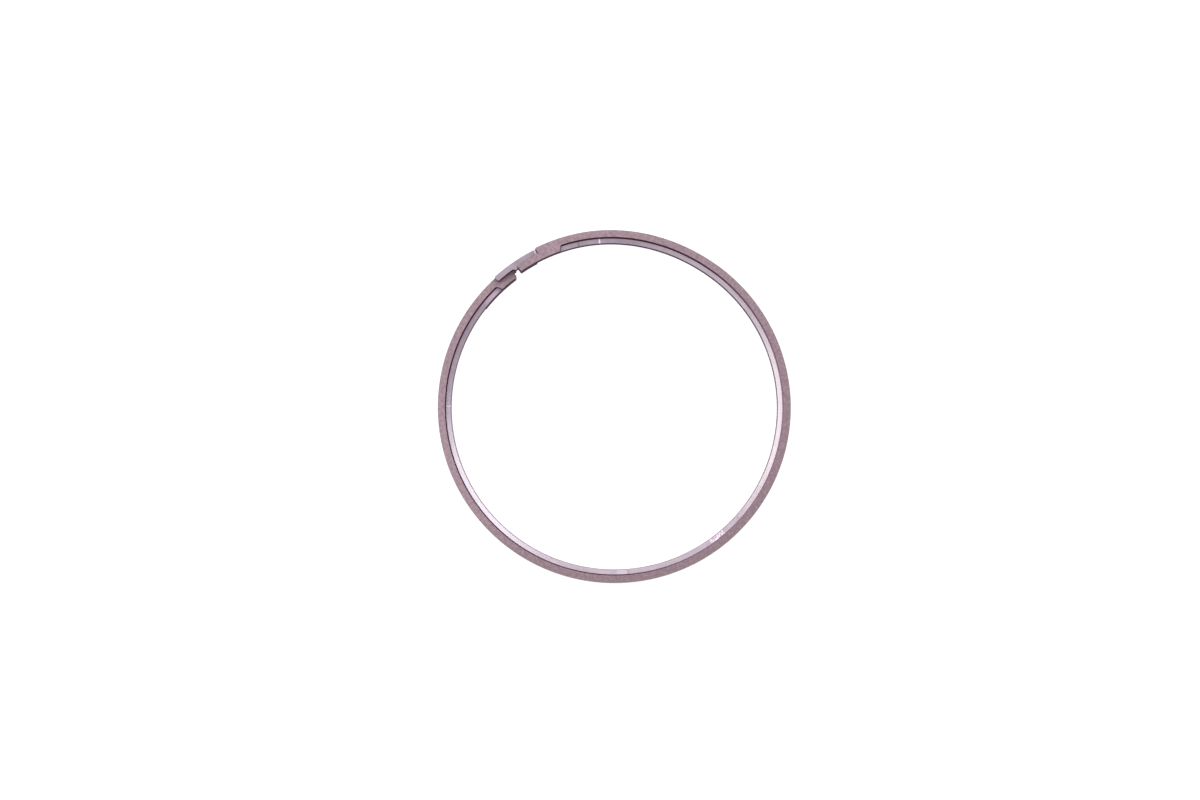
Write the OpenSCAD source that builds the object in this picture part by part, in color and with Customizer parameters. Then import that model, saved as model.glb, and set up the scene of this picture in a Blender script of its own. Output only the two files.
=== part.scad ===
// Split seal ring for a rotating shaft, moulded in one piece, with a stepped joint.
// The ring lies on one side face. End A has sprung up, and its tongue rides on top of end B.
// Origin: on the ring's axis, in the plane that the ring lies on. The joint's gap faces +X.
// Angles are counted from the middle of the gap. End A is on the -Y side and end B on the +Y side.

/* [Ring section] */
// Outside diameter, which runs against the housing bore
ring_od = 60; // [40:1:120]
// Radial thickness of the section
radial_t = 2.3; // [1.9:0.05:3.5]
// Width of the section along the axis
axial_w = 2.3; // [1.9:0.05:4]
// Break on the outer edges of the two side faces
edge_break = 0.08; // [0.02:0.01:0.15]
// Break on the edges around the bore
bore_break = 0.14; // [0.05:0.01:0.2]

/* [Side recesses] */
// Width of the flat sealing land on each side face
land_w = 1.25; // [0.9:0.05:1.5]
// Drop from the land to the recess floor
step_depth = 0.5; // [0.2:0.05:0.6]
// Extra drop of the conical recess floor, from the step to the bore
floor_fall = 0.35; // [0.05:0.05:0.42]
// Bevel that fills the corner between the step and the recess floor
foot_bevel = 0.12; // [0.05:0.01:0.15]
// Corner radius, seen from above, where the step turns towards the bore
recess_corner_r = 0.4; // [0.1:0.05:0.6]
// Angle between the end wall of a recess and the radial line
recess_end_slant = 25; // [5:1:35]

/* [Stepped joint] */
// Gap between the butt faces of the two ends
joint_gap = 0.9; // [0.3:0.1:2]
// Length of each tongue beyond its own butt face
tongue_len = 4.05; // [2:0.05:6]
// Extra length of the seat for that tongue, so that its tip stays clear when the gap closes
tip_room = 0.15; // [0:0.05:0.5]
// Radial width of each tongue
tongue_w = 1.02; // [0.8:0.02:1.3]
// Clearance between a tongue and the seat of the other end
tongue_clearance = 0.04; // [0.01:0.01:0.1]
// Full-width side face behind the shoulder that faces the mating tongue
shoulder_land_len = 4.1; // [2:0.1:6]
// Full-width side face behind the butt face, on the side that is flush with the tongue
root_land_len = 3.9; // [2:0.1:6]
// Radius of the inner corner of a tongue's tip
tip_inner_r = 0.35; // [0.1:0.05:0.5]
// Radius of the outer corner of a tongue's tip
tip_outer_r = 0.2; // [0.05:0.05:0.4]
// Radius of the corner between a butt face and the tongue's seat
seat_corner_r = 0.1; // [0.05:0.01:0.2]
// Radius of the butt face's inner corner on end A
butt_corner_a_r = 0.15; // [0.05:0.05:0.5]
// Radius of the butt face's inner corner on end B
butt_corner_b_r = 0.4; // [0.05:0.05:0.6]
// Length of the gusset that ties a tongue's root to the butt face
gusset_len = 0.85; // [0.2:0.05:1.2]
// Radial width of that gusset
gusset_w = 0.4; // [0.1:0.05:0.6]

/* [Sprung end] */
// Air between the raised tongue and the side face below it
lift_clearance = 0.05; // [0.02:0.01:0.2]

/* [Hidden] */

$fn = 240;
// Sides that stand for a small round corner
CORNER_FN = 48;
// Straight pieces that stand for the climbing stretch of the ring
RISE_STEPS = 28;
// Angle left open ahead of an end, which holds the tongue
OPEN_ARC = 60;
// Overlap, in millimetres or degrees, where one body runs into or past another
PAST = 1;
// Small overlap that leaves the corner radii in full
SKIM = 0.01;
// Smaller one, by which a straight side and a round corner cross where they would only touch
BITE = 0.002;

// Turned bodies meet exactly only after a turn whose cosine and sine are short decimals, as in these arcs.
// The first is 16.26 degrees and the last 53.13.
EXACT_ARCS = [asin(0.28), asin(0.352), asin(0.5376), asin(0.6), asin(0.8)];
// Arc over which the ring rises to end A, with a cosine of 0.6 and a sine of 0.8
rise_arc = acos(0.6);

r_out = ring_od / 2;
r_in = r_out - radial_t;
r_mean = r_out - radial_t / 2;
r_step = r_out - land_w;
r_split = r_out - tongue_w;
tongue_h = (axial_w - tongue_clearance) / 2;
end_lift = axial_w + lift_clearance;

// Angle that a length along the ring's mean radius spans
function span(length) = length / r_mean * 180 / PI;
function polar(r, a) = [r * cos(a), r * sin(a)];

butt_a = -span(joint_gap / 2);
tip_a = butt_a + span(tongue_len);
shoulder_a = butt_a - span(tongue_len + tip_room);
shoulder_recess_a = shoulder_a - span(shoulder_land_len);
root_recess_a = butt_a - span(root_land_len);
joint_span = -shoulder_recess_a + span(recess_corner_r) + 2 * PAST;
// Arc from the middle of the gap to the plane where an end of the joint starts
end_arc = min([for (arc = EXACT_ARCS) if (arc >= joint_span) arc]);

// Section of the ring's two ends, as radius and height
full_section = [
    [r_in, bore_break],
    [r_in + bore_break, 0],
    [r_out - edge_break, 0],
    [r_out, edge_break],
    [r_out, axial_w - edge_break],
    [r_out - edge_break, axial_w],
    [r_in + bore_break, axial_w],
    [r_in, axial_w - bore_break]
];

// Depth of the recess floor below the side face at a radius, to a tenth of a micrometre
function floor_depth(r) = round(1e4 * (step_depth + floor_fall * (r_step - r) / (r_step - r_in))) / 1e4;
bore_floor = floor_depth(r_in + bore_break);
foot_floor = floor_depth(r_step - foot_bevel);

// Section of the rest of the ring, with a recess in each side face
recessed_section = [
    [r_in, bore_floor + bore_break],
    [r_in + bore_break, bore_floor],
    [r_step - foot_bevel, foot_floor],
    [r_step, foot_floor - foot_bevel],
    [r_step, 0],
    [r_out - edge_break, 0],
    [r_out, edge_break],
    [r_out, axial_w - edge_break],
    [r_out - edge_break, axial_w],
    [r_step, axial_w],
    [r_step, axial_w - foot_floor + foot_bevel],
    [r_step - foot_bevel, axial_w - foot_floor],
    [r_in + bore_break, axial_w - bore_floor],
    [r_in, axial_w - bore_floor - bore_break]
];

// What a recess takes out of the upper side face, run on past the bore and the face
recess_cut = [
    [r_in - PAST, axial_w - bore_floor - bore_break - PAST],
    [r_in + bore_break, axial_w - bore_floor],
    [r_step - foot_bevel, axial_w - foot_floor],
    [r_step, axial_w - foot_floor + foot_bevel],
    [r_step, axial_w + PAST],
    [r_in - PAST, axial_w + PAST]
];

// A profile of radius and height, turned about the axis between two angles
module turned(profile, from, to) {
    rotate([0, 0, from])
        rotate_extrude(angle = to - from)
            polygon(profile);
}

// Plan of everything between two angles less than a half turn apart
module wedge_plan(from, to) {
    polygon([[0, 0], polar(ring_od, from), polar(ring_od, (from + to) / 2), polar(ring_od, to)]);
}

// Plan of a disc without the part just ahead of an angle
module plan_behind(angle) {
    difference() {
        circle(r_out + PAST);
        wedge_plan(angle, angle + OPEN_ARC);
    }
}

// Plan of a ring between two radii and two angles
module sector_plan(inner, outer, from, to) {
    intersection() {
        difference() {
            circle(outer);
            circle(inner);
        }
        wedge_plan(from, to);
    }
}

// Plan of a strip that ends square at angle "to", with its two corners rounded
module strip_plan(inner, outer, from, to, inner_corner_r, outer_corner_r) {
    mid = (inner + outer) / 2;
    inner_a = to - asin(inner_corner_r / (inner + inner_corner_r));
    outer_a = to - asin(outer_corner_r / (outer - outer_corner_r));
    inner_centre = polar(inner + inner_corner_r - BITE, inner_a);
    outer_centre = polar(outer - outer_corner_r + BITE, outer_a);
    along = polar(1, to + 90);
    sector_plan(inner, mid, from, inner_a);
    sector_plan(mid, outer, from, outer_a);
    translate(inner_centre) circle(inner_corner_r, $fn = CORNER_FN);
    translate(outer_centre) circle(outer_corner_r, $fn = CORNER_FN);
    polygon([
        polar(mid, min(inner_a, outer_a) - PAST),
        inner_centre,
        inner_centre + (inner_corner_r - BITE) * along,
        outer_centre + (outer_corner_r - BITE) * along,
        outer_centre
    ]);
}

// Recess in the upper side face that ends at angle "to" in a slanted wall with a round corner
module side_recess(to) {
    centre_r = r_step - recess_corner_r + BITE;
    tilt = asin((r_step * sin(recess_end_slant) - recess_corner_r) / centre_r) - recess_end_slant;
    corner_centre = polar(centre_r, to + tilt);
    wall_foot = corner_centre + (recess_corner_r - BITE) * polar(1, to + 90 - recess_end_slant);
    wall_end = wall_foot + 2 * radial_t * polar(1, to + 180 - recess_end_slant);
    intersection() {
        rotate_extrude()
            polygon(recess_cut);
        linear_extrude(axial_w + 2 * PAST) {
            plan_behind(to + tilt);
            translate(corner_centre) circle(recess_corner_r, $fn = CORNER_FN);
            polygon([
                polar(centre_r, to + tilt - PAST),
                wall_foot,
                wall_end,
                polar(r_in - 2 * PAST, to + tilt - PAST)
            ]);
        }
    }
}

// Small wedge between a tongue's root and the butt face, seen from above
module gusset_plan() {
    tongue_mid_r = r_split + tongue_w / 2;
    apex_a = butt_a + span(gusset_len);
    polygon([
        polar(tongue_mid_r, butt_a - PAST),
        polar(r_split - gusset_w, butt_a - PAST),
        polar(r_split - gusset_w, butt_a),
        polar(r_split, apex_a),
        polar(tongue_mid_r, apex_a)
    ]);
}

// End A where it would seat, with the ring behind it back to the angle "start".
// Its tongue is the outer, lower quarter of the section, and its upper side has the seat for the other tongue.
// The plans run a skim past the bore and the outer wall, so that their round corners cross the walls cleanly.
module joint_end(butt_corner_r, start) {
    r_seat = r_split - tongue_clearance;
    difference() {
        intersection() {
            turned(full_section, start, tip_a + PAST);
            union() {
                linear_extrude(axial_w) {
                    plan_behind(shoulder_a);
                    strip_plan(r_in - SKIM, r_seat, shoulder_a - PAST, butt_a, butt_corner_r, seat_corner_r);
                }
                linear_extrude(tongue_h) {
                    sector_plan(r_mean, r_out + PAST, shoulder_a - PAST, butt_a);
                    strip_plan(r_split, r_out + SKIM, butt_a - PAST, tip_a, tip_inner_r, tip_outer_r);
                    gusset_plan();
                }
            }
        }
        side_recess(shoulder_recess_a);
        translate([0, 0, axial_w])
            mirror([0, 0, 1])
                side_recess(root_recess_a);
    }
}

// End B is end A turned over about the line through the middle of the gap.
// The flat run of the ring, which lies on its lower side face, goes on from it.
module flat_run_and_end_b() {
    translate([0, 0, axial_w])
        rotate([180, 0, 0])
            joint_end(butt_corner_b_r, end_arc + rise_arc - 360);
}

// End A, sprung up until its tongue clears the side face of end B
module end_a() {
    translate([0, 0, end_lift])
        joint_end(butt_corner_a_r, -end_arc);
}

// The stretch that climbs from the flat run to end A, swept one section at a time
module rise() {
    n = len(recessed_section);
    points = [
        for (i = [0:RISE_STEPS])
            let (
                a = -rise_arc * (1 - i / RISE_STEPS),
                h = end_lift * (1 - cos(180 * i / RISE_STEPS)) / 2
            )
            for (p = recessed_section)
                [p.x * cos(a), p.x * sin(a), p.y + h]
    ];
    sides = [
        for (i = [0:RISE_STEPS - 1], j = [0:n - 1])
            let (
                low = i * n + j,
                high = i * n + (j + 1) % n
            )
            each [[low, high, high + n], [low, high + n, low + n]]
    ];
    // Each end is closed by convex faces, with no three corners of a face in line
    closing = [
        [0, 1, 12, 13],
        [1, 2, 11, 12],
        [2, 3, 10, 11],
        [3, 4, 5],
        [3, 5, 8, 10],
        [5, 6, 7, 8],
        [8, 9, 10]
    ];
    first_end = [for (face = closing) [for (k = [len(face) - 1:-1:0]) face[k]]];
    last_end = [for (face = closing) [for (k = face) RISE_STEPS * n + k]];
    rotate([0, 0, -end_arc])
        polyhedron(points, concat(first_end, sides, last_end));
}

module seal_ring() {
    color("rosybrown") {
        flat_run_and_end_b();
        rise();
        end_a();
    }
}

seal_ring();
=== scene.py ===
"""Looks for a moulded split seal ring with a stepped joint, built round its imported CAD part."""

from __future__ import annotations

import logging
import math
from dataclasses import dataclass, field
from enum import Enum

import bmesh
import bpy
from mathutils import Matrix, Vector


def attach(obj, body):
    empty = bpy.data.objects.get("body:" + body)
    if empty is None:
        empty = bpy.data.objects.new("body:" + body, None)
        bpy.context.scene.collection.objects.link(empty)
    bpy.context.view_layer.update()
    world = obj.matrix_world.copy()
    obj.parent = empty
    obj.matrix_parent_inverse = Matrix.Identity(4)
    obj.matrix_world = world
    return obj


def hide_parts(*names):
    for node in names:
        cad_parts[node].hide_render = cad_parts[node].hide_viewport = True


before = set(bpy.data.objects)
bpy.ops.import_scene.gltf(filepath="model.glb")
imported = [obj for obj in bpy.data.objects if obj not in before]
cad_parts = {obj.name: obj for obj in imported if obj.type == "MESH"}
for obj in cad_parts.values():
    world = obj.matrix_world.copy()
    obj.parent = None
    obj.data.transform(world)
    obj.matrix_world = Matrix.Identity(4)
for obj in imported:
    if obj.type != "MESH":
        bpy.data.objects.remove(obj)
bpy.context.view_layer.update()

LOG = logging.getLogger("seal_ring")
MM = 0.001
FULL_TURN = 360.0

# Vertices closer than this are merged, in millimetres
WELD = 1e-4
# Points closer than this are in one place, in millimetres
SAME_PLACE = 1e-3
# Slack for comparing a radius or a place in plan with one of the ring's sizes, in millimetres
SLACK = 0.01
# Points whose angles differ by less than this lie on one radial plane, in degrees
SAME_ANGLE = 0.005
# A face is level where the vertical share of its normal is above the first of these, and upright
# where it is below the second
LEVEL = 0.97
UPRIGHT = 0.3
# A face looks in a direction where its normal's share in that direction is above this
FACING = 0.9


class Dress(Enum):
    """Material places on the ring, in the order of its material list."""

    LAPPED = 0
    MOULDED = 1
    # painted shade: the nearly black finish of the step's walls and of the floor at their foot
    STEP_WALL = 2
    BORE = 3
    RIM = 4
    LIP = 5


# Of two finishes that meet at an edge, the one that comes first here takes the middle of its round
ROUND_ORDER = (Dress.STEP_WALL, Dress.BORE, Dress.RIM, Dress.LIP, Dress.MOULDED, Dress.LAPPED)


def linear(hex_colour: str) -> tuple[float, float, float, float]:
    """Turn an sRGB hex colour into linear RGBA.

    Args:
        hex_colour: A colour such as "8A7078".

    Returns:
        The linear colour, with an alpha of 1.
    """
    channels = [int(hex_colour[i : i + 2], 16) / 255 for i in (0, 2, 4)]
    red, green, blue = (
        c / 12.92 if c <= 0.04045 else ((c + 0.055) / 1.055) ** 2.4 for c in channels
    )
    return red, green, blue, 1.0


def polar(radius: float, angle: float, height: float = 0.0) -> Vector:
    """Give the point at a radius, an angle in degrees and a height."""
    a = math.radians(angle)
    return Vector((radius * math.cos(a), radius * math.sin(a), height))


def angle_of(point: Vector) -> float:
    """Give a point's angle about the ring's axis, from -180 to 180 degrees."""
    return math.degrees(math.atan2(point.y, point.x))


def share_of(value: float, low: float, high: float) -> float:
    """Give how far a value lies between two others, from 0 to 1."""
    return min(max((value - low) / (high - low), 0.0), 1.0)


def on_radial(point: Vector, angle: float) -> bool:
    """Tell whether a point lies on the radial plane at an angle."""
    return abs(angle_of(point) - angle) < SAME_ANGLE


@dataclass(frozen=True)
class RingSizes:
    """Sizes of the ring in millimetres and degrees, as in its CAD source.

    Angles are those of an end where it would seat, counted from the middle of the gap.
    """

    # Radii of the rim, the bore, the recess's step, the seat's wall and the tongue's inner wall
    outer_r: float = 29.998
    inner_r: float = 27.7
    step_r: float = 28.75
    seat_r: float = 28.94
    split_r: float = 28.98
    # Radii where the dull edge of the bore stops and where the gusset starts
    lip_r: float = 27.87
    gusset_r: float = 28.58
    width: float = 2.3
    step_depth: float = 0.5
    floor_fall: float = 0.35
    tongue_h: float = 1.13
    end_lift: float = 2.35
    # Angles where an end's parts start or stop, and the arc over which the ring climbs to end A
    butt: float = -0.9
    tip: float = 7.15
    shoulder: float = -9.24
    top_recess_end: float = -17.38
    low_recess_end: float = -8.64
    joint_end: float = -20.61
    rise: float = 53.13
    gusset_arc: float = 1.69
    recess_slant: float = 25.0
    # Corner radii as seen from above
    recess_corner_r: float = 0.4
    tip_inner_r: float = 0.35
    tip_outer_r: float = 0.2
    seat_corner_r: float = 0.1
    butt_corner_a_r: float = 0.15
    butt_corner_b_r: float = 0.4
    # Rounds of the bore's edges, the foot of the step, the rim's edges, the joint and the land's edge
    bore_round: float = 0.14
    foot_round: float = 0.12
    outer_round: float = 0.08
    edge_round: float = 0.05
    land_round: float = 0.06
    # Angles between which the joint's round grows to the bore's and to the rim's
    bore_round_from: float = 5.0
    bore_round_full: float = 9.0
    outer_round_from: float = 9.5
    outer_round_full: float = 15.5
    # Angle past which the step's edges have their own rounds
    step_rounds_from: float = 7.0
    # How far an end's level faces may lie past the gap's middle and behind it
    end_ahead: float = 8.0
    end_behind: float = 20.0

    def floor(self, radius: float) -> float:
        """Give the height of the lower recess floor.

        Args:
            radius: A radius from the ring's axis.

        Returns:
            The floor's height at that radius.
        """
        if radius >= self.step_r:
            return self.step_depth
        share = (self.step_r - radius) / (self.step_r - self.inner_r)
        return self.step_depth + share * self.floor_fall

    def slant_shift(self, radius: float) -> float:
        """Give how far a recess's slanted end wall has moved towards the gap, in degrees."""
        slant = math.radians(self.recess_slant)
        return math.degrees(math.asin(self.step_r / radius * math.sin(slant)) - slant)

    def climb(self, angle: float) -> float:
        """Give the height that the ring has climbed at an angle from 0 to 360 degrees."""
        start = FULL_TURN + self.joint_end - self.rise
        return self.end_lift * (1 - math.cos(math.pi * share_of(angle, start, start + self.rise))) / 2


Cell = tuple[int, int]


@dataclass
class Lattice:
    """The ring's section, cut into cells between six radii and five heights."""

    sizes: RingSizes
    columns: int = 5
    rows: int = 4

    def radii(self) -> list[float]:
        """Give the radii of the section's columns, from the bore outwards."""
        s = self.sizes
        return [s.inner_r, s.lip_r, s.gusset_r, s.step_r, s.seat_r, s.outer_r]

    def heights(self, radius: float) -> list[float]:
        """Give the heights of the section's rows.

        Args:
            radius: The radius of a column's wall.

        Returns:
            The heights at that radius, from the bottom up.
        """
        s = self.sizes
        floor = s.floor(radius)
        return [0.0, floor, s.tongue_h, s.width - floor, s.width]

    def cells(self, drop: set[Cell] | None = None) -> set[Cell]:
        """Give all cells as (column, row), without the dropped ones."""
        every = {(column, row) for column in range(self.columns) for row in range(self.rows)}
        return every - (drop or set())

    def sweep(self, bm: bmesh.types.BMesh, cells: set[Cell], start: float, end: float, steps: int,
              shared_start: set[Cell], shared_end: set[Cell]) -> None:
        """Spin some cells of the section from one angle to another.

        Args:
            bm: The mesh that takes the new faces.
            cells: The cells that are solid on this stretch.
            start: The angle of the stretch's first section.
            end: The angle of its last section.
            steps: The number of faces along the stretch.
            shared_start: Cells that go on before the first section, which stays open there.
            shared_end: Cells that go on past the last section.
        """
        corner: dict[tuple[int, int], bmesh.types.BMVert] = {}
        for column, radius in enumerate(self.radii()):
            for row, height in enumerate(self.heights(radius)):
                if any((column - i, row - j) in cells for i in (0, 1) for j in (0, 1)):
                    corner[column, row] = bm.verts.new(polar(radius, start, height))
        first = {
            (c, r): bm.faces.new([corner[c + i, r + j] for i, j in ((0, 0), (1, 0), (1, 1), (0, 1))])
            for c, r in sorted(cells)
        }
        kept = {cell: (face.calc_center_median(), face) for cell, face in first.items()}
        edges = dict.fromkeys(edge for face in first.values() for edge in face.edges)
        arc = math.radians(end - start)
        made = bmesh.ops.spin(
            bm, geom=[*first.values(), *edges, *corner.values()],
            cent=(0, 0, 0), axis=(0, 0, 1), angle=arc, steps=steps, use_merge=False,
            use_normal_flip=False, use_duplicate=False,
        )
        turn = Matrix.Rotation(arc, 3, "Z")
        last = [f for f in made["geom_last"] if isinstance(f, bmesh.types.BMFace)]
        gone = []
        for cell, (centre, face) in kept.items():
            if cell in shared_start and face.is_valid:
                gone.append(face)
            if cell in shared_end:
                place = turn @ centre
                gone += [f for f in last if (f.calc_center_median() - place).length < SAME_PLACE]
        bmesh.ops.delete(bm, geom=gone, context="FACES")


@dataclass(frozen=True)
class Stretch:
    """A stretch of the joint's end with one section."""

    start: float
    end: float
    steps: int
    cells: frozenset[Cell]


@dataclass
class SealRing:
    """The one-piece ring: a flat run, a climbing run and the two ends of its stepped joint."""

    sizes: RingSizes = field(default_factory=RingSizes)
    name: str = "seal_ring_skin"
    # Edges that turn by more than this many degrees are rounded, with so many faces across the round
    sharp_angle: float = 30.0
    round_segments: int = 3
    # Margins that tell the tongue's vertices from the rim's, one row from the next, and the section's
    # two halves from each other
    rim_margin: float = 0.5
    row_margin: float = 0.4
    half_margin: float = 0.1

    def __post_init__(self) -> None:
        """Set up the section's lattice, and the cells that the recesses and the seat leave open."""
        self.lattice = Lattice(self.sizes)
        self.top_recess = {(0, 3), (1, 3), (2, 3)}
        self.low_recess = {(0, 0), (1, 0), (2, 0)}
        self.seat = {(4, 2), (4, 3)}

    def end_stretches(self) -> list[Stretch]:
        """List the stretches of a seated end.

        Returns:
            The stretches, from the flat run to the tongue's tip.
        """
        s = self.sizes
        every = self.lattice.cells()
        tongue = {(4, 0), (4, 1)}
        gusset = {(c, r) for c in (2, 3) for r in (0, 1)}
        apex = s.butt + s.gusset_arc
        return [
            Stretch(start, end, steps, frozenset(cells))
            for start, end, steps, cells in (
                (s.joint_end, s.top_recess_end, 2, every - self.top_recess - self.low_recess),
                (s.top_recess_end, s.shoulder, 5, every - self.low_recess),
                (s.shoulder, s.low_recess_end, 1, every - self.low_recess - self.seat),
                (s.low_recess_end, s.butt, 5, every - self.seat),
                (s.butt, apex, 2, tongue | gusset),
                (apex, s.tip, 6, tongue),
            )
        ]

    def joint_end(self, butt_corner_r: float) -> bmesh.types.BMesh:
        """Build one end of the ring where it would seat, open towards the flat run.

        Args:
            butt_corner_r: The radius of the inner corner of the butt face.

        Returns:
            The end's mesh, in millimetres.
        """
        s = self.sizes
        bm = bmesh.new()
        run = self.end_stretches()
        for i, part in enumerate(run):
            before = run[i - 1].cells if i else part.cells
            after = run[i + 1].cells if i + 1 < len(run) else frozenset()
            self.lattice.sweep(bm, set(part.cells), part.start, part.end, part.steps,
                               set(before & part.cells), set(after & part.cells))
        bmesh.ops.remove_doubles(bm, verts=bm.verts, dist=WELD)
        self.taper_gusset(bm)
        self.slant_recess_ends(bm)
        drop_flat_edges(bm)
        recess_reach = s.recess_corner_r * math.tan(math.radians(90 - s.recess_slant) / 2)
        round_corner(bm, s.step_r, s.top_recess_end, recess_reach, segments=5)
        round_corner(bm, s.step_r, s.low_recess_end, recess_reach, segments=5)
        round_corner(bm, s.split_r, s.tip, s.tip_inner_r, segments=5)
        round_corner(bm, s.outer_r, s.tip, s.tip_outer_r, segments=4)
        round_corner(bm, s.inner_r, s.butt, butt_corner_r, segments=4)
        round_corner(bm, s.seat_r, s.butt, s.seat_corner_r, segments=3, above=s.tongue_h)
        return bm

    def taper_gusset(self, bm: bmesh.types.BMesh) -> None:
        """Draw the tongue's root into a wedge, and bring the tongue's inner wall to the split radius.

        Args:
            bm: The end's mesh.
        """
        s = self.sizes
        apex = s.butt + s.gusset_arc
        # The rows on the tongue's two faces are level, and the one between them is where the floor
        # slopes, off the step's depth
        tongue_faces = (0.0, s.tongue_h)
        for height in (0.0, s.step_depth, s.tongue_h):
            row = [
                v for v in bm.verts
                if on_radial(v.co, apex) and v.co.xy.length < s.outer_r - self.rim_margin
                and abs(v.co.z - height) < self.row_margin
                and (height in tongue_faces) == (abs(v.co.z - height) < SAME_PLACE)
            ]
            if row:
                bmesh.ops.pointmerge(bm, verts=row, merge_co=polar(s.split_r, apex, height))
        for v in bm.verts:
            angle = angle_of(v.co)
            if angle > apex + 2 * SAME_ANGLE and abs(v.co.xy.length - s.seat_r) < SAME_PLACE:
                v.co = polar(s.split_r, angle, v.co.z)
        bmesh.ops.remove_doubles(bm, verts=bm.verts, dist=WELD)

    def slant_recess_ends(self, bm: bmesh.types.BMesh) -> None:
        """Turn the two end walls of the side recesses out of the radial direction.

        Args:
            bm: The end's mesh.
        """
        s = self.sizes
        for v in bm.verts:
            radius = v.co.xy.length
            if radius > s.step_r - SLACK:
                continue
            upper = on_radial(v.co, s.top_recess_end) and v.co.z > s.tongue_h + self.half_margin
            lower = on_radial(v.co, s.low_recess_end) and v.co.z < s.tongue_h - self.half_margin
            if upper or lower:
                v.co = polar(radius, angle_of(v.co) + s.slant_shift(radius), v.co.z)

    def build(self) -> bpy.types.Object:
        """Build the whole ring as one closed skin, with its material places.

        Returns:
            The ring's object, in metres, in the part's frame.
        """
        s = self.sizes
        bm = bmesh.new()
        cells = self.lattice.cells(self.top_recess | self.low_recess)
        start, end = -s.joint_end, FULL_TURN + s.joint_end
        one_face_a_degree = round(end - start)
        self.lattice.sweep(bm, cells, start, end, one_face_a_degree, cells, cells)
        drop_flat_edges(bm)
        for v in bm.verts:
            v.co.z += s.climb(angle_of(v.co) % FULL_TURN)
        end_a = self.joint_end(s.butt_corner_a_r)
        bmesh.ops.translate(end_a, verts=end_a.verts, vec=(0, 0, s.end_lift))
        end_b = self.joint_end(s.butt_corner_b_r)
        turned_over = Matrix.Rotation(math.pi, 3, "X")
        bmesh.ops.rotate(end_b, verts=end_b.verts, cent=(0, 0, 0), matrix=turned_over)
        bmesh.ops.translate(end_b, verts=end_b.verts, vec=(0, 0, s.width))
        for part in (end_a, end_b):
            pour(part, bm)
        bmesh.ops.remove_doubles(bm, verts=bm.verts, dist=SAME_PLACE)
        bmesh.ops.recalc_face_normals(bm, faces=bm.faces)
        self.mark_dress(bm)
        self.mark_rounds(bm)
        bmesh.ops.scale(bm, verts=bm.verts, vec=(MM, MM, MM))
        mesh = bpy.data.meshes.new(self.name)
        bm.to_mesh(mesh)
        self.aim_edges(bm, mesh)
        bm.free()
        skin = bpy.data.objects.new(self.name, mesh)
        bpy.context.scene.collection.objects.link(skin)
        self.round_edges(skin)
        return skin

    def aim_edges(self, bm: bmesh.types.BMesh, mesh: bpy.types.Mesh) -> None:
        """Set which way each edge runs, so that every run of the script dresses the rounds alike.

        A round with an odd number of faces gives its middle one the finish on one side of the edge,
        and which side that is follows from the order of the edge's two vertices.

        Args:
            bm: The ring's skin.
            mesh: The mesh made from it, whose edges are turned.
        """
        for e, edge in zip(bm.edges, mesh.edges):
            first = min(e.link_loops,
                        key=lambda loop: ROUND_ORDER.index(Dress(loop.face.material_index)))
            edge.vertices = (e.other_vert(first.vert).index, first.vert.index)

    def round_edges(self, skin: bpy.types.Object) -> None:
        """Round the marked edges with a modifier.

        Args:
            skin: The ring's object.
        """
        rounds = skin.modifiers.new("edge rounds", "BEVEL")
        rounds.limit_method = "WEIGHT"
        rounds.width = self.sizes.bore_round * MM
        rounds.segments = self.round_segments
        rounds.use_clamp_overlap = False
        rounds.miter_outer = "MITER_ARC"
        rounds.harden_normals = True

    def mark_rounds(self, bm: bmesh.types.BMesh) -> None:
        """Give each sharp edge the size of its round, as a share of the bore edges' round.

        Args:
            bm: The whole ring's mesh, in millimetres.
        """
        share = bm.edges.layers.float.new("bevel_weight_edge")
        for e in bm.edges:
            if len(e.link_faces) == 2 and e.calc_face_angle(0) > math.radians(self.sharp_angle):
                e[share] = self.round_size(e) / self.sizes.bore_round

    def round_size(self, e: bmesh.types.BMEdge) -> float:
        """Give the size of a sharp edge's round.

        Args:
            e: A sharp edge of the ring, in millimetres.

        Returns:
            The round's size in millimetres, or 0 for an inner upright corner, which stays sharp.
        """
        s = self.sizes
        a, b = (v.co for v in e.verts)
        if (a.xy - b.xy).length < SLACK:
            return s.edge_round if e.is_convex else 0.0
        radii = (a.xy.length, b.xy.length)
        angle = abs(angle_of((a + b) / 2))
        if max(radii) < s.inner_r + SLACK:
            grown = share_of(angle, s.bore_round_from, s.bore_round_full)
            return s.edge_round + (s.bore_round - s.edge_round) * grown
        if min(radii) > s.outer_r - SLACK:
            grown = share_of(angle, s.outer_round_from, s.outer_round_full)
            return s.edge_round + (s.outer_round - s.edge_round) * grown
        if max(radii) < s.step_r + SLACK and angle > s.step_rounds_from:
            return s.land_round if e.is_convex else s.foot_round
        return s.edge_round

    def mark_dress(self, bm: bmesh.types.BMesh) -> None:
        """Give each face its material place, and shade it smooth.

        Args:
            bm: The whole ring's mesh, in millimetres.
        """
        for f in bm.faces:
            f.material_index = self.dress_of(f).value
            f.smooth = True

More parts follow.
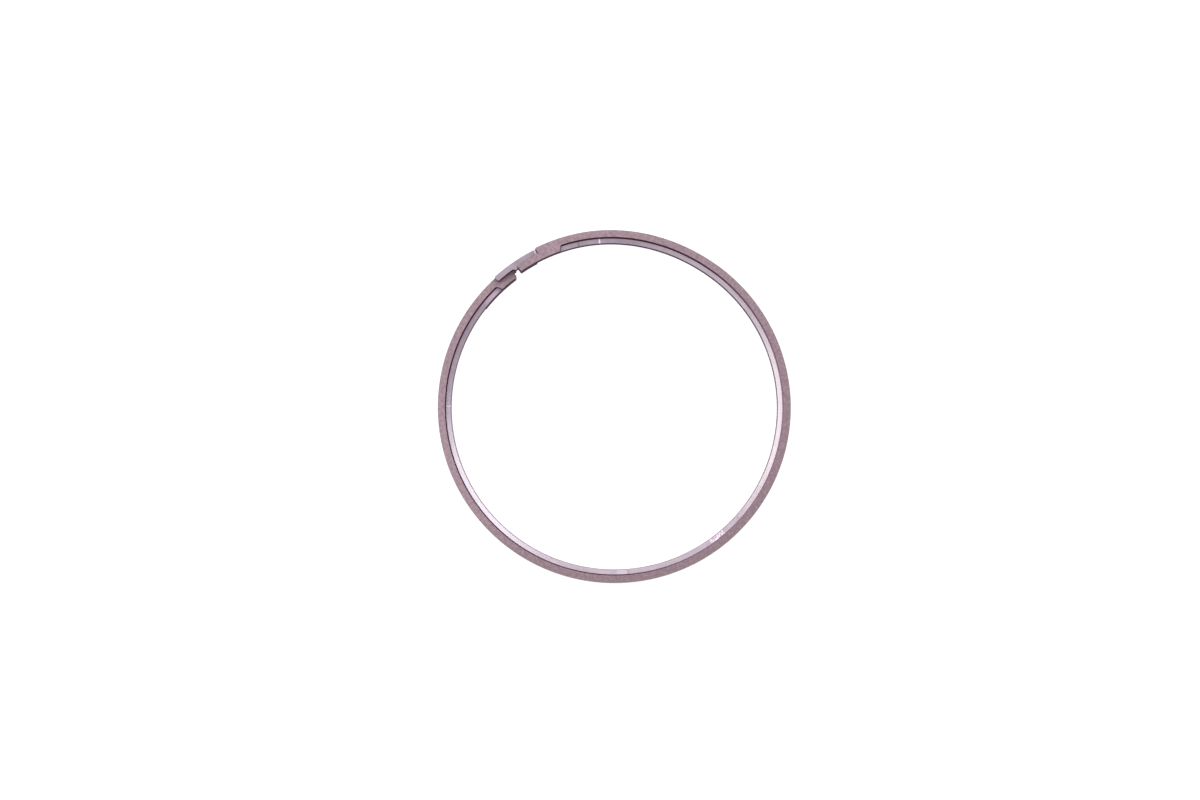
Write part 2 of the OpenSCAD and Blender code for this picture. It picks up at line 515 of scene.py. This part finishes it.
    def dress_of(self, f: bmesh.types.BMFace) -> Dress:
        """Choose the finish of a face.

        Args:
            f: A face of the ring, in millimetres.

        Returns:
            The place in the material list.
        """
        s = self.sizes
        centre, normal = f.calc_center_median(), f.normal
        radius, tilt = centre.xy.length, abs(normal.z)
        inward = -(normal.x * centre.x + normal.y * centre.y) / radius
        if tilt > LEVEL:
            return Dress.LAPPED if self.is_side_face(f) else Dress.MOULDED
        if inward > FACING and radius < s.inner_r + SLACK:
            return Dress.BORE
        if tilt < UPRIGHT and radius > s.outer_r - SLACK:
            return Dress.RIM
        if s.inner_r < radius < s.lip_r:
            return Dress.LIP
        # painted shade: the step's wall and the tongue's and the seat's inward walls take the nearly
        # black finish
        if inward > FACING and radius > s.step_r - 5 * SLACK:
            return Dress.STEP_WALL
        # painted shade: the sloping floor strip at the step's foot takes the nearly black finish too
        if tilt > UPRIGHT:
            return Dress.STEP_WALL if s.gusset_r < radius < s.step_r else Dress.MOULDED
        return Dress.BORE

    def is_side_face(self, f: bmesh.types.BMFace) -> bool:
        """Tell whether a level face is one of the two lapped side faces.

        Args:
            f: A face whose normal is nearly vertical.

        Returns:
            True for the lands and the full-width faces by the joint.
        """
        s = self.sizes
        centre = f.calc_center_median()
        angle = angle_of(centre)
        side_faces = [0.0, s.width]
        lifts = [s.climb(angle % FULL_TURN)]
        if -s.end_behind < angle < s.end_ahead:
            lifts.append(s.end_lift)
        if -s.end_ahead < angle < s.end_behind:
            lifts.append(0.0)
        return any(abs(centre.z - lift - h) < 2 * SLACK for lift in lifts for h in side_faces)


def pour(part: bmesh.types.BMesh, into: bmesh.types.BMesh) -> None:
    """Add one mesh to another, and free it.

    Args:
        part: The mesh to add.
        into: The mesh that takes it.
    """
    holder = bpy.data.meshes.new("holder")
    part.to_mesh(holder)
    part.free()
    into.from_mesh(holder)
    bpy.data.meshes.remove(holder)


def drop_flat_edges(bm: bmesh.types.BMesh, flat_angle: float = 0.3, end_facing: float = 0.85,
                    least_turn: float = 0.05, most_step: float = 0.05) -> None:
    """Dissolve the lengthwise edges and the end-face edges that lie in flat surfaces.

    The lengthwise edges of the conical recess floors stay, because those floors are not flat.

    Args:
        bm: A swept mesh, in millimetres.
        flat_angle: The angle below which two faces are flat, in degrees.
        end_facing: The share of a normal along the ring above which a face is an end face.
        least_turn: The angle about the axis that a lengthwise edge spans at least, in degrees.
        most_step: The change of radius that it has at most.
    """
    limit = math.radians(flat_angle)
    flat = []
    for e in bm.edges:
        if len(e.link_faces) != 2 or e.calc_face_angle(math.pi) > limit:
            continue
        a, b = (v.co for v in e.verts)
        lengthwise = (
            abs(angle_of(a) - angle_of(b)) > least_turn and abs(a.z - b.z) < SAME_PLACE
            and abs(a.xy.length - b.xy.length) < most_step
        )
        tangent = polar(1, angle_of((a + b) / 2) + 90)
        in_end_face = all(abs(f.normal.dot(tangent)) > end_facing for f in e.link_faces)
        in_floor = all(FACING < abs(f.normal.z) < LEVEL for f in e.link_faces)
        if lengthwise and not in_floor or in_end_face:
            flat.append(e)
    bmesh.ops.dissolve_edges(bm, edges=flat, use_verts=False, use_face_split=False)
    spare = [v for v in bm.verts if len(v.link_edges) == 2]
    bmesh.ops.dissolve_verts(bm, verts=spare, use_face_split=False, use_boundary_tear=False)


def round_corner(bm: bmesh.types.BMesh, radius: float, angle: float, offset: float, segments: int,
                 above: float = -math.inf, least_height: float = 0.05,
                 least_turn: float = 20.0) -> None:
    """Round the upright edges at one corner of the plan.

    Args:
        bm: The end's mesh, in millimetres.
        radius: The corner's radius from the axis.
        angle: The corner's angle.
        offset: How far the round reaches from the corner along each wall.
        segments: The number of faces in the round.
        above: The lowest height of the edges that are rounded.
        least_height: The length from which an edge counts as upright.
        least_turn: The angle in degrees from which an edge is a corner.
    """
    place = polar(radius, angle).xy
    upright = [
        e for e in bm.edges
        if all((v.co.xy - place).length < SLACK and v.co.z > above - SAME_PLACE for v in e.verts)
        and abs(e.verts[0].co.z - e.verts[1].co.z) > least_height and len(e.link_faces) == 2
        and e.calc_face_angle(0) > math.radians(least_turn)
    ]
    LOG.info("corner at %.2f mm, %.2f degrees: %d edge(s)", radius, angle, len(upright))
    bmesh.ops.bevel(bm, geom=upright, offset=offset, offset_type="OFFSET", affect="EDGES",
                    segments=segments, profile=0.5, material=-1, clamp_overlap=False)


def add_node(tree: bpy.types.NodeTree, kind: str, settings: dict[str, object] | None = None,
             links: dict[str, bpy.types.NodeSocket] | None = None) -> bpy.types.Node:
    """Add a shader node with its settings, and link its inputs.

    Args:
        tree: The material's node tree.
        kind: The node's type, such as "ShaderNodeBump".
        settings: Attributes or input values by name; an input's name starts with "in:".
        links: Sockets to link, by the name of the new node's input.

    Returns:
        The new node.
    """
    node = tree.nodes.new(kind)
    for name, value in (settings or {}).items():
        if name.startswith("in:"):
            node.inputs[name[3:]].default_value = value
        else:
            setattr(node, name, value)
    for name, socket in (links or {}).items():
        tree.links.new(socket, node.inputs[name])
    return node


def math_node(tree: bpy.types.NodeTree, operation: str, *values: bpy.types.NodeSocket | float,
              clamp: bool = False) -> bpy.types.NodeSocket:
    """Add a Math node.

    Args:
        tree: The material's node tree.
        operation: The node's operation, such as "ADD".
        values: Its inputs, as sockets or numbers.
        clamp: Whether the result is kept between 0 and 1.

    Returns:
        The socket with the result.
    """
    node = add_node(tree, "ShaderNodeMath", {"operation": operation, "use_clamp": clamp})
    for socket, value in zip(node.inputs, values):
        if isinstance(value, bpy.types.NodeSocket):
            tree.links.new(value, socket)
        else:
            socket.default_value = value
    return node.outputs[0]


def dot_node(tree: bpy.types.NodeTree, place: bpy.types.NodeSocket,
             direction: Vector) -> bpy.types.NodeSocket:
    """Measure how far a point lies along a direction.

    Args:
        tree: The material's node tree.
        place: The point's object coordinates, in metres.
        direction: The direction, whose length scales the result.

    Returns:
        The socket with the distance.
    """
    node = add_node(tree, "ShaderNodeVectorMath", {"operation": "DOT_PRODUCT"}, {"Vector": place})
    node.inputs[1].default_value = direction
    return node.outputs["Value"]


@dataclass(frozen=True)
class Mark:
    """A mark that crosses the ring: a witness line, a speck, a patch, or a painted highlight or painted
    shade.

    It lies at an angle in degrees, its half width and soft edge are in millimetres, and a negative
    strength darkens.
    """

    angle: float
    half_width: float
    edge: float
    strength: float

    def mask(self, tree: bpy.types.NodeTree, place: bpy.types.NodeSocket) -> bpy.types.NodeSocket:
        """Draw the mark as a band across the ring.

        Args:
            tree: The material's node tree.
            place: The point's object coordinates, in metres.

        Returns:
            A socket that is the mark's strength inside it and 0 outside.
        """
        aside = dot_node(tree, place, polar(1 / MM, self.angle + 90))
        outward = dot_node(tree, place, polar(1 / MM, self.angle))
        distance = math_node(tree, "ABSOLUTE", aside)
        inside = add_node(tree, "ShaderNodeMapRange", {
            "interpolation_type": "SMOOTHSTEP", "in:From Min": self.half_width - self.edge,
            "in:From Max": self.half_width + self.edge, "in:To Min": self.strength, "in:To Max": 0.0})
        tree.links.new(distance, inside.inputs["Value"])
        here = math_node(tree, "GREATER_THAN", outward, 0.0)
        return math_node(tree, "MULTIPLY", inside.outputs["Result"], here)


@dataclass(frozen=True)
class Drift:
    """A slow change of paleness across the ring, towards one angle: painted light, paler where more
    light falls.

    The paleness is the middle value on the ring's axis, and grows by 1 over the spread.
    """

    towards: float = 0.0
    spread_mm: float = 1000.0
    middle: float = 0.3

    def paleness(self, tree: bpy.types.NodeTree, place: bpy.types.NodeSocket) -> bpy.types.NodeSocket:
        """Give the paleness, as a socket that may run below 0 or above 1."""
        slope = dot_node(tree, place, polar(1 / MM / self.spread_mm, self.towards))
        return math_node(tree, "ADD", slope, self.middle)


@dataclass(frozen=True)
class Peek:
    """A finish of the ring's one plastic, polyether ether ketone, which is tan to brown and hard.

    The dark and the pale colour are mostly the plastic's own, mixed by the pattern that each way of
    making the surface leaves; the drift across the ring, some marks and the nearly black walls are
    painted light and shade.
    """

    name: str
    dark: str
    pale: str
    roughness: float
    specular: float
    drift: Drift = Drift()
    mottle_mm: float = 0.8
    mottle: float = 0.4
    marks: tuple[Mark, ...] = ()
    ior: float = 1.65

    def make(self) -> bpy.types.Material:
        """Build the material.

        Returns:
            The material, which reads Object coordinates only.
        """
        material = bpy.data.materials.new(self.name)
        material.use_nodes = True
        tree = material.node_tree
        tree.nodes.clear()
        place = add_node(tree, "ShaderNodeTexCoord").outputs["Object"]
        colour = add_node(tree, "ShaderNodeMix", {"data_type": "RGBA"})
        # A Mix node's colours A, B and Result share their names with other types, so they go by number
        colour.inputs[6].default_value = linear(self.dark)
        colour.inputs[7].default_value = linear(self.pale)
        tree.links.new(self.paleness(tree, place), colour.inputs["Factor"])
        shader = add_node(tree, "ShaderNodeBsdfPrincipled", {
            "in:Roughness": self.roughness, "in:IOR": self.ior, "in:Specular IOR Level": self.specular,
        }, {"Base Color": colour.outputs[2]})
        self.relief(tree, place, shader)
        add_node(tree, "ShaderNodeOutputMaterial", links={"Surface": shader.outputs["BSDF"]})
        return material

    def noise(self, tree: bpy.types.NodeTree, place: bpy.types.NodeSocket, grain_mm: float,
              detail: float = 2.0) -> bpy.types.NodeSocket:
        """Add a noise whose grains have a size in millimetres.

        Args:
            tree: The material's node tree.
            place: The coordinates, in metres.
            grain_mm: The size of a grain.
            detail: How many finer layers are added.

        Returns:
            The noise, between 0 and 1 with most of it near 0.5.
        """
        scale = 1 / (grain_mm * MM)
        node = add_node(tree, "ShaderNodeTexNoise", {"in:Scale": scale, "in:Detail": detail},
                        {"Vector": place})
        return node.outputs["Fac"]

    def paleness(self, tree: bpy.types.NodeTree, place: bpy.types.NodeSocket) -> bpy.types.NodeSocket:
        """Give how pale the plastic is at a point: a slow change of painted light, with mottling and
        marks over it.

        Args:
            tree: The material's node tree.
            place: The point's object coordinates, in metres.

        Returns:
            The share of the pale colour, from 0 to 1.
        """
        grain = self.noise(tree, place, self.mottle_mm, detail=3.0)
        mottled = math_node(tree, "MULTIPLY_ADD", grain, self.mottle, -self.mottle / 2)
        total = math_node(tree, "ADD", self.drift.paleness(tree, place), mottled)
        for mark in self.marks:
            total = math_node(tree, "ADD", total, mark.mask(tree, place))
        return math_node(tree, "MAXIMUM", math_node(tree, "MINIMUM", total, 1.0), 0.0)

    def relief(self, tree: bpy.types.NodeTree, place: bpy.types.NodeSocket,
               shader: bpy.types.Node) -> None:
        """Leave the surface smooth."""

    def bump(self, tree: bpy.types.NodeTree, shader: bpy.types.Node, height: bpy.types.NodeSocket,
             strength: float, depth_mm: float) -> None:
        """Give the surface a relief.

        Args:
            tree: The material's node tree.
            shader: The shader that takes the relief.
            height: The relief's height, from 0 to 1.
            strength: How much of the relief shows.
            depth_mm: The depth that a height of 1 stands for.
        """
        node = add_node(tree, "ShaderNodeBump", {"in:Strength": strength, "in:Distance": depth_mm * MM},
                        {"Height": height})
        tree.links.new(node.outputs["Normal"], shader.inputs["Normal"])


@dataclass(frozen=True)
class LappedPeek(Peek):
    """Side faces lapped flat on a plate, which leaves them matt and mottled; their paleness on one side
    is painted light.

    The lap's scratches are 0.02 mm wide, drawn 0.1 mm wide so that they show.
    """

    scratch_mm: float = 0.1
    scratch_depth_mm: float = 0.01
    scratch_strength: float = 0.15

    def relief(self, tree: bpy.types.NodeTree, place: bpy.types.NodeSocket,
               shader: bpy.types.Node) -> None:
        """Scratch the surface lightly."""
        scratches = self.noise(tree, place, self.scratch_mm)
        self.bump(tree, shader, scratches, self.scratch_strength, self.scratch_depth_mm)


@dataclass(frozen=True)
class MouldedPeek(Peek):
    """Faces as they leave a polished mould: glossy, with witness lines and the scar of the gate.

    The mould's turned inserts leave streaks 0.15 mm wide and some millimetres long round the ring, and
    the witness marks lie where the inserts meet and the pins end; the other marks are painted light and
    shade. The gate is opposite the joint, on the upper side, where the plastic was cut off and left
    shiny lumps about 0.4 mm across, drawn pale as a painted highlight.
    """

    streak: float = 0.25
    streak_mm: float = 0.15
    streaks_a_radian: float = 5.0
    gate: Mark = Mark(angle=182.1, half_width=1.4, edge=0.3, strength=1.0)
    gate_above_mm: float = 1.0
    lump_mm: float = 0.45
    # The lumps are the noise's peaks: it is stretched by the first, then lowered by the second
    lump_contrast: float = 4.0
    lump_drop: float = 1.8
    lump_depth_mm: float = 0.05
    lump_strength: float = 0.5

    def paleness(self, tree: bpy.types.NodeTree, place: bpy.types.NodeSocket) -> bpy.types.NodeSocket:
        """Give the paleness, with the turning streaks and the lumps of the gate's scar over the rest;
        the lumps are drawn pale as a painted highlight.

        Args:
            tree: The material's node tree.
            place: The point's object coordinates, in metres.

        Returns:
            The share of the pale colour, from 0 to 1.
        """
        noise = self.streaks(tree, place)
        streaks = math_node(tree, "MULTIPLY_ADD", noise, self.streak, -self.streak / 2)
        total = math_node(tree, "ADD", super().paleness(tree, place), streaks)
        # painted highlight: the gate's lumps are drawn pale, over their real scar and bump
        return math_node(tree, "ADD", total, self.lumps(tree, place), clamp=True)

    def streaks(self, tree: bpy.types.NodeTree, place: bpy.types.NodeSocket) -> bpy.types.NodeSocket:
        """Give a noise drawn out along the ring, from 0 to 1.

        Args:
            tree: The material's node tree.
            place: The point's object coordinates, in metres.

        Returns:
            The noise's socket.
        """
        split = add_node(tree, "ShaderNodeSeparateXYZ", links={"Vector": place})
        flat = add_node(tree, "ShaderNodeCombineXYZ",
                        links={"X": split.outputs["X"], "Y": split.outputs["Y"]})
        radius = add_node(tree, "ShaderNodeVectorMath", {"operation": "LENGTH"},
                          {"Vector": flat.outputs[0]})
        turn = math_node(tree, "ARCTAN2", split.outputs["Y"], split.outputs["X"])
        across = math_node(tree, "MULTIPLY", radius.outputs["Value"], 1 / (self.streak_mm * MM))
        along = math_node(tree, "MULTIPLY", turn, self.streaks_a_radian)
        drawn_out = add_node(tree, "ShaderNodeCombineXYZ", links={"X": across, "Y": along})
        noise = add_node(tree, "ShaderNodeTexNoise", {"in:Scale": 1.0, "in:Detail": 2.0},
                         {"Vector": drawn_out.outputs[0]})
        return noise.outputs["Fac"]

    def lumps(self, tree: bpy.types.NodeTree, place: bpy.types.NodeSocket) -> bpy.types.NodeSocket:
        """Give the lumps of the cut gate.

        Args:
            tree: The material's node tree.
            place: The point's object coordinates, in metres.

        Returns:
            A socket that is 1 on a lump and 0 away from the gate.
        """
        noise = self.noise(tree, place, self.lump_mm, detail=1.0)
        grains = math_node(tree, "MULTIPLY_ADD", noise, self.lump_contrast, -self.lump_drop, clamp=True)
        split = add_node(tree, "ShaderNodeSeparateXYZ", links={"Vector": place})
        above = math_node(tree, "GREATER_THAN", split.outputs["Z"], self.gate_above_mm * MM)
        upper = math_node(tree, "MULTIPLY", grains, above)
        return math_node(tree, "MULTIPLY", upper, self.gate.mask(tree, place))

    def relief(self, tree: bpy.types.NodeTree, place: bpy.types.NodeSocket,
               shader: bpy.types.Node) -> None:
        """Raise the lumps of the gate's scar."""
        self.bump(tree, shader, self.lumps(tree, place), self.lump_strength, self.lump_depth_mm)


# Witness lines, specks and pale patches of the moulded faces, with a painted shade, a painted highlight
# and a painted reflection among them, by angle from the middle of the gap
MOULD_MARKS_AND_PAINTED_LIGHT = (
    Mark(angle=-30.8, half_width=0.12, edge=0.08, strength=0.8),
    Mark(angle=-23.4, half_width=0.10, edge=0.08, strength=-0.5),
    # painted shade in the corner beside the shoulder's wall
    Mark(angle=-9.1, half_width=0.08, edge=0.04, strength=-0.5),
    # painted highlight at the foot of the shoulder
    Mark(angle=-8.65, half_width=0.10, edge=0.05, strength=0.8),
    # painted reflection: a broad pale patch on the recess floor near the joint
    Mark(angle=11.9, half_width=1.3, edge=1.2, strength=0.25),
    Mark(angle=54.1, half_width=0.07, edge=0.05, strength=0.6),
    Mark(angle=-154.9, half_width=0.07, edge=0.05, strength=-0.3),
    Mark(angle=148.8, half_width=0.07, edge=0.05, strength=-0.3),
    Mark(angle=146.7, half_width=0.90, edge=0.30, strength=0.15),
    Mark(angle=-168.2, half_width=0.07, edge=0.05, strength=-0.3),
)

FINISHES = {
    # Lapping takes the gloss off, so the lands are an even mauve brown with fine clouds in it; their
    # drift paler towards -7 degrees is painted light, and the broad patch at 76 degrees a painted
    # highlight
    Dress.LAPPED: LappedPeek(
        "peek, lapped flat", dark="3A282D", pale="503F45", roughness=0.6, specular=0.3,
        drift=Drift(towards=-7.0, spread_mm=130.0, middle=0.36), mottle_mm=0.45, mottle=2.6,
        # painted highlight: a broad pale patch where the light falls brightest on the lands
        marks=(Mark(angle=76.0, half_width=12.0, edge=8.0, strength=0.3),)),
    # A polished mould leaves a skin that mirrors the soft boxes, so the recess floors look lilac grey
    Dress.MOULDED: MouldedPeek(
        "peek, glossy as moulded", dark="2A1F27", pale="8A7A87", roughness=0.25, specular=0.5,
        drift=Drift(middle=0.2), mottle_mm=1.5, mottle=0.25, marks=MOULD_MARKS_AND_PAINTED_LIGHT),
    # Painted shade: the step's walls and the floor strip at their foot are a dull, nearly black line
    # round the land for the shade in that corner, fading to brown as painted light on the side facing
    # the lamps
    Dress.STEP_WALL: Peek(
        "peek, step wall in painted shade", dark="280D18", pale="54404A", roughness=0.7, specular=0.05,
        drift=Drift(towards=219.0, spread_mm=20.0, middle=-0.43)),
    # The mould's core was drawn along the bore and the joint's walls, which leaves them dull and dark;
    # their paleness that grows towards 144 degrees is painted light, where the walls catch more of it
    Dress.BORE: Peek(
        "peek, drawn mould wall", dark="301D25", pale="4E3A40", roughness=0.8, specular=0.05,
        drift=Drift(towards=144.0, spread_mm=40.0, middle=0.4)),
    # The broken edge round the bore scatters the light; its soft grey line, paler opposite the joint,
    # is painted light
    Dress.LIP: Peek(
        "peek, bore's edge with painted light", dark="2B2126", pale="6A5A62", roughness=0.5, specular=0.2,
        drift=Drift(towards=130.0, spread_mm=57.0, middle=0.42)),
    # A finely turned cavity gives the rim a satin sheen and one even colour
    Dress.RIM: Peek(
        "peek, satin as moulded", dark="43363D", pale="55474E", roughness=0.35, specular=0.4),
}

Colour = tuple[float, float, float]
WARM: Colour = (1.0, 0.95, 0.94)
COOL: Colour = (0.96, 0.95, 1.0)


@dataclass(frozen=True)
class SoftBox:
    """A square soft light that faces the ring.

    Its angle is counted from the right of the camera's view, its height is an elevation in degrees, its
    side and distance are in metres, and its radiance is 1 where it is as bright as the table's white.
    """

    name: str
    angle: float
    height: float
    side: float
    radiance: float
    colour: Colour
    distance: float = 0.9

    def hang(self, right_of_view: float) -> bpy.types.Object:
        """Hang the light over the table.

        Args:
            right_of_view: The angle about the ring's axis of the right of the camera's view.

        Returns:
            The light's object.
        """
        data = bpy.data.lights.new(self.name, "AREA")
        data.shape = "SQUARE"
        data.size = self.side
        data.energy = self.radiance * math.pi * self.side * self.side
        data.color = self.colour
        lamp = bpy.data.objects.new(self.name, data)
        tilt = math.radians(self.height)
        where = polar(math.cos(tilt), self.angle + right_of_view, math.sin(tilt))
        lamp.location = where * self.distance
        lamp.rotation_euler = where.to_track_quat("Z", "Y").to_euler()
        bpy.context.scene.collection.objects.link(lamp)
        return lamp


@dataclass
class Studio:
    """A white lit table, soft boxes and the camera.

    Lengths without a unit in their name are in metres, and angles are in degrees.
    """

    focal_mm: float = 66.57
    sensor_mm: float = 36.0
    near_clip: float = 0.01
    distance_mm: float = 377.0
    elevation: float = 82.86
    # Angle about the ring's axis of the top of the camera's view
    away: float = -35.9
    # The point that the camera looks at
    aim_right_mm: float = -2.425
    aim_up_mm: float = 0.97
    aim_height_mm: float = 2.3
    table_half: float = 1.5
    table_glow: float = 0.9
    sky: float = 2.0
    boxes: tuple[SoftBox, ...] = (
        SoftBox("left_box", angle=162, height=53, side=0.5, radiance=11, colour=WARM),
        SoftBox("right_box", angle=44, height=49, side=0.42, radiance=13, colour=COOL),
        SoftBox("back_box", angle=100, height=48, side=0.6, radiance=4, colour=COOL),
        SoftBox("front_box", angle=240, height=61, side=0.6, radiance=2.6, colour=COOL),
        SoftBox("low_box", angle=150, height=15, side=0.8, radiance=3, colour=WARM),
    )

    def camera(self) -> bpy.types.Object:
        """Set up the camera, which looks down on the ring.

        Returns:
            The camera's object.
        """
        up = polar(1, self.away)
        right = polar(1, self.away - 90)
        target = right * self.aim_right_mm + up * self.aim_up_mm + Vector((0, 0, self.aim_height_mm))
        tilt = math.radians(self.elevation)
        back = -up * math.cos(tilt) + Vector((0, 0, math.sin(tilt)))
        data = bpy.data.cameras.new("camera")
        data.lens = self.focal_mm
        data.sensor_width = self.sensor_mm
        data.clip_start = self.near_clip
        eye = bpy.data.objects.new("camera", data)
        spot = (target + back * self.distance_mm) * MM
        view_up = (up * math.sin(tilt) + Vector((0, 0, math.cos(tilt)))).normalized()
        eye.matrix_world = Matrix((
            (right.x, view_up.x, back.x, spot.x),
            (right.y, view_up.y, back.y, spot.y),
            (right.z, view_up.z, back.z, spot.z),
            (0, 0, 0, 1),
        ))
        bpy.context.scene.collection.objects.link(eye)
        bpy.context.scene.camera = eye
        return eye

    def table(self) -> bpy.types.Object:
        """Lay a white table under the ring.

        Returns:
            The table's object, staged as the floor.
        """
        bm = bmesh.new()
        bmesh.ops.create_grid(bm, x_segments=1, y_segments=1, size=self.table_half)
        mesh = bpy.data.meshes.new("table")
        bm.to_mesh(mesh)
        bm.free()
        top = bpy.data.objects.new("table", mesh)
        bpy.context.scene.collection.objects.link(top)
        # Opal glass lit from below stays white and takes hardly any shadow
        material = bpy.data.materials.new("opal glass table")
        material.use_nodes = True
        tree = material.node_tree
        tree.nodes.clear()
        shader = add_node(tree, "ShaderNodeBsdfPrincipled", {
            "in:Base Color": (0.1, 0.1, 0.1, 1), "in:Roughness": 0.8, "in:Specular IOR Level": 0.1,
            "in:Emission Color": (1, 1, 1, 1), "in:Emission Strength": self.table_glow})
        add_node(tree, "ShaderNodeOutputMaterial", links={"Surface": shader.outputs["BSDF"]})
        mesh.materials.append(material)
        return top

    def build(self) -> None:
        """Set up the whole studio."""
        self.camera()
        self.table()
        for box in self.boxes:
            box.hang(self.away - 90)
        scene = bpy.context.scene
        scene.view_settings.view_transform = "Standard"
        world = bpy.data.worlds.new("studio")
        scene.world = world
        world.use_nodes = True
        backdrop = world.node_tree.nodes["Background"]
        backdrop.inputs["Color"].default_value = (*COOL, 1)
        backdrop.inputs["Strength"].default_value = self.sky


def main() -> None:
    """Build the ring and its studio, and report each piece."""
    logging.basicConfig(level=logging.INFO)
    skin = SealRing().build()
    for place in Dress:
        skin.data.materials.append(FINISHES[place].make())
    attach(skin, "root")
    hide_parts("seal_ring")
    Studio().build()
    LOG.info("%s: %d faces", skin.name, len(skin.data.polygons))


if __name__ == "__main__":
    main()
